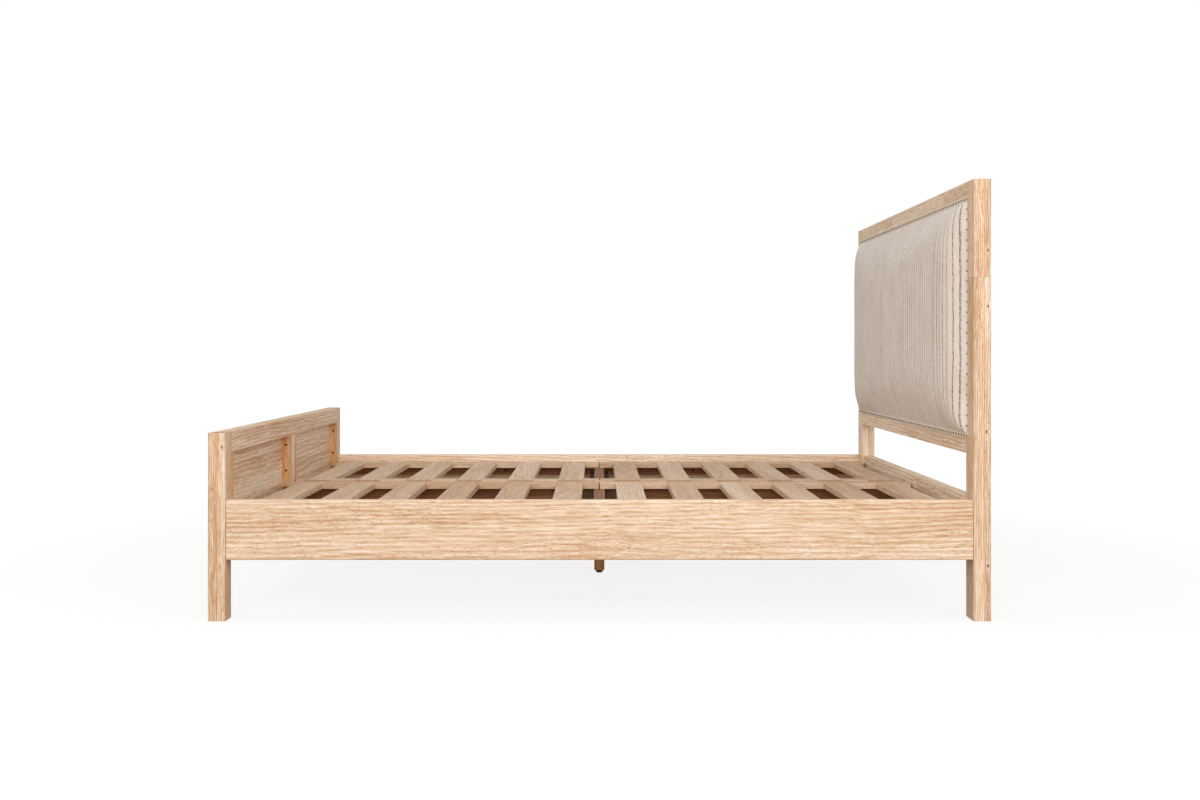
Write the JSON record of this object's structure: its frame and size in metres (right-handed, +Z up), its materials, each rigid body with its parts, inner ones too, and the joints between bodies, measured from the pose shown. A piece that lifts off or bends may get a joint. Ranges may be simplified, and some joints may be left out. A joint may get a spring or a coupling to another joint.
{
  "type": "upholstered bed frame",
  "caption": "Wooden bed frame with a padded striped headboard edged in nailheads, a low panelled footboard, deep side rails and a drop-in slat deck on a centre leg.",
  "frame": {"origin": "on the floor, under the middle of the outer box", "axes": "+X towards the headboard, +Y to the left of someone who stands at the foot and faces the headboard, +Z up"},
  "size_m": [2.15, 1.64, 1.215],
  "materials": {
    "frame_wood": "clear satin lacquer on pale honey hardwood with strong grain",
    "deck_wood": "sanded, unstained pale wood",
    "beam_wood": "sanded, unstained wood",
    "plywood": "raw plywood",
    "foam": "upholstery foam",
    "striped_cloth": "ivory linen weave with thin grey stripes",
    "trim_tape": "woven flat trim",
    "dark_bronze": "dark bronze, domed",
    "zinc_steel": "zinc plated",
    "black_steel": "black",
    "bright_steel": "bright",
    "black_plastic": "moulded, matt"
  },
  "bodies": {
    "frame": {"barrel_nuts": "zinc_steel", "base_board_screws": "black_steel", "beam_stirrups": "zinc_steel", "bed_bolts": "zinc_steel", "bolt_washers": "zinc_steel", "centre_beam_foot": "beam_wood", "centre_beam_head": "beam_wood", "centre_leg": "beam_wood", "cleat_left_muntin": "frame_wood", "cleat_left_post": "frame_wood", "cleat_right_muntin": "frame_wood", "cleat_right_post": "frame_wood", "cleat_screws": "black_steel", "crossbeam": "beam_wood", "foot_post_left": "frame_wood", "foot_post_right": "frame_wood", "footboard_bottom_rail": "frame_wood", "footboard_muntin": "frame_wood", "footboard_panel_left": "frame_wood", "footboard_panel_right": "frame_wood", "footboard_top_rail": "frame_wood", "glide_insert": "zinc_steel", "head_post_left": "frame_wood", "head_post_right": "frame_wood", "headboard_base_board": "plywood", "headboard_bottom_rail": "frame_wood", "headboard_lower_rail": "frame_wood", "headboard_top_rail": "frame_wood", "ledger_left": "beam_wood", "ledger_right": "beam_wood", "ledger_screws": "black_steel", "leg_dowel_screw": "zinc_steel", "pad_cover": "striped_cloth", "pad_foam": "foam", "pad_gimp": "trim_tape", "pad_nailheads": "dark_bronze", "panel_stop_block": "beam_wood", "side_rail_left": "frame_wood", "side_rail_right": "frame_wood", "stirrup_screws": "black_steel", "stop_block_screw": "black_steel"},
    "deck_foot_left": {"panel_foot_left_brads": "bright_steel", "panel_foot_left_inner_rail": "deck_wood", "panel_foot_left_outer_rail": "deck_wood", "panel_foot_left_slats": "deck_wood"},
    "deck_foot_right": {"panel_foot_right_brads": "bright_steel", "panel_foot_right_inner_rail": "deck_wood", "panel_foot_right_outer_rail": "deck_wood", "panel_foot_right_slats": "deck_wood"},
    "deck_head_left": {"panel_head_left_brads": "bright_steel", "panel_head_left_inner_rail": "deck_wood", "panel_head_left_outer_rail": "deck_wood", "panel_head_left_slats": "deck_wood"},
    "deck_head_right": {"panel_head_right_brads": "bright_steel", "panel_head_right_inner_rail": "deck_wood", "panel_head_right_outer_rail": "deck_wood", "panel_head_right_slats": "deck_wood"},
    "glide_foot": {"glide_base": "black_plastic"},
    "glide_screw": {"glide_stem": "zinc_steel"}
  },
  "joints": [
    {"name": "lift_foot_left", "type": "slide", "parent": "frame", "child": "deck_foot_left", "axis": [0, 0, 1], "range_m": [0, 0.15]},
    {"name": "lift_foot_right", "type": "slide", "parent": "frame", "child": "deck_foot_right", "axis": [0, 0, 1], "range_m": [0, 0.15]},
    {"name": "lift_head_left", "type": "slide", "parent": "frame", "child": "deck_head_left", "axis": [0, 0, 1], "range_m": [0, 0.15]},
    {"name": "lift_head_right", "type": "slide", "parent": "frame", "child": "deck_head_right", "axis": [0, 0, 1], "range_m": [0, 0.15]},
    {"name": "glide_travel", "type": "slide", "parent": "frame", "child": "glide_foot", "axis": [0, 0, -1], "range_m": [0, 0.012]},
    {"name": "glide_turn", "type": "hinge", "parent": "glide_foot", "child": "glide_screw", "pos_m": [0, 0, 0.02], "axis": [0, 0, 1], "range_deg": [0, 3455]}
  ],
  "couplings": [
    {"joint": "glide_travel", "follows": "glide_turn", "m_per_rad": 0.00019894}
  ]
}
